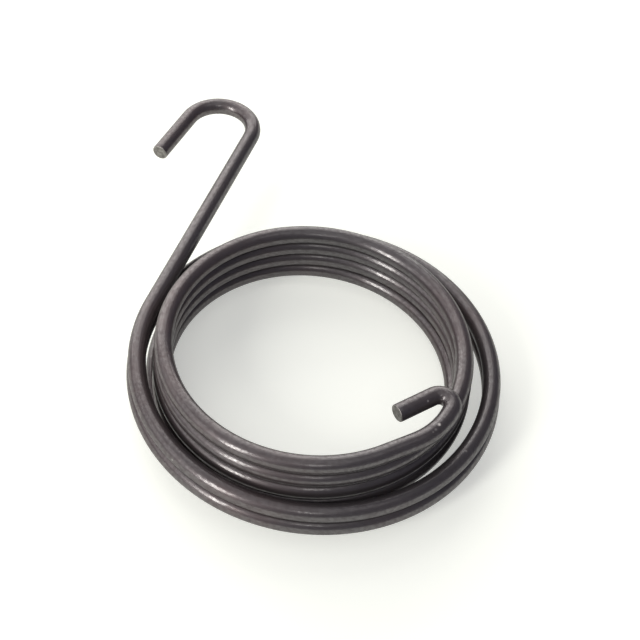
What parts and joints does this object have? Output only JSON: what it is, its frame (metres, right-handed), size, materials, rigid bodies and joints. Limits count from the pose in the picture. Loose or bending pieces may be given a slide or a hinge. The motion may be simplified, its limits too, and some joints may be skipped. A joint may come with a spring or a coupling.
{
  "type": "kickstart spring",
  "caption": "Two-layer torsion spring of round steel wire with a long leg and open hook outside and a short bent-back tang inside.",
  "frame": {"origin": "on the coil axis, at the level of the lowest point of the wire", "axes": "+Z along the coil axis, away from the crossing turn; +Y roughly along the leg, towards the hook"},
  "size_m": [0.0664, 0.092, 0.0164],
  "materials": {
    "blackened_steel": "blackened and lightly oiled, semi-gloss"
  },
  "bodies": {
    "root": {"spring_wire": "blackened_steel"}
  },
  "joints": []
}
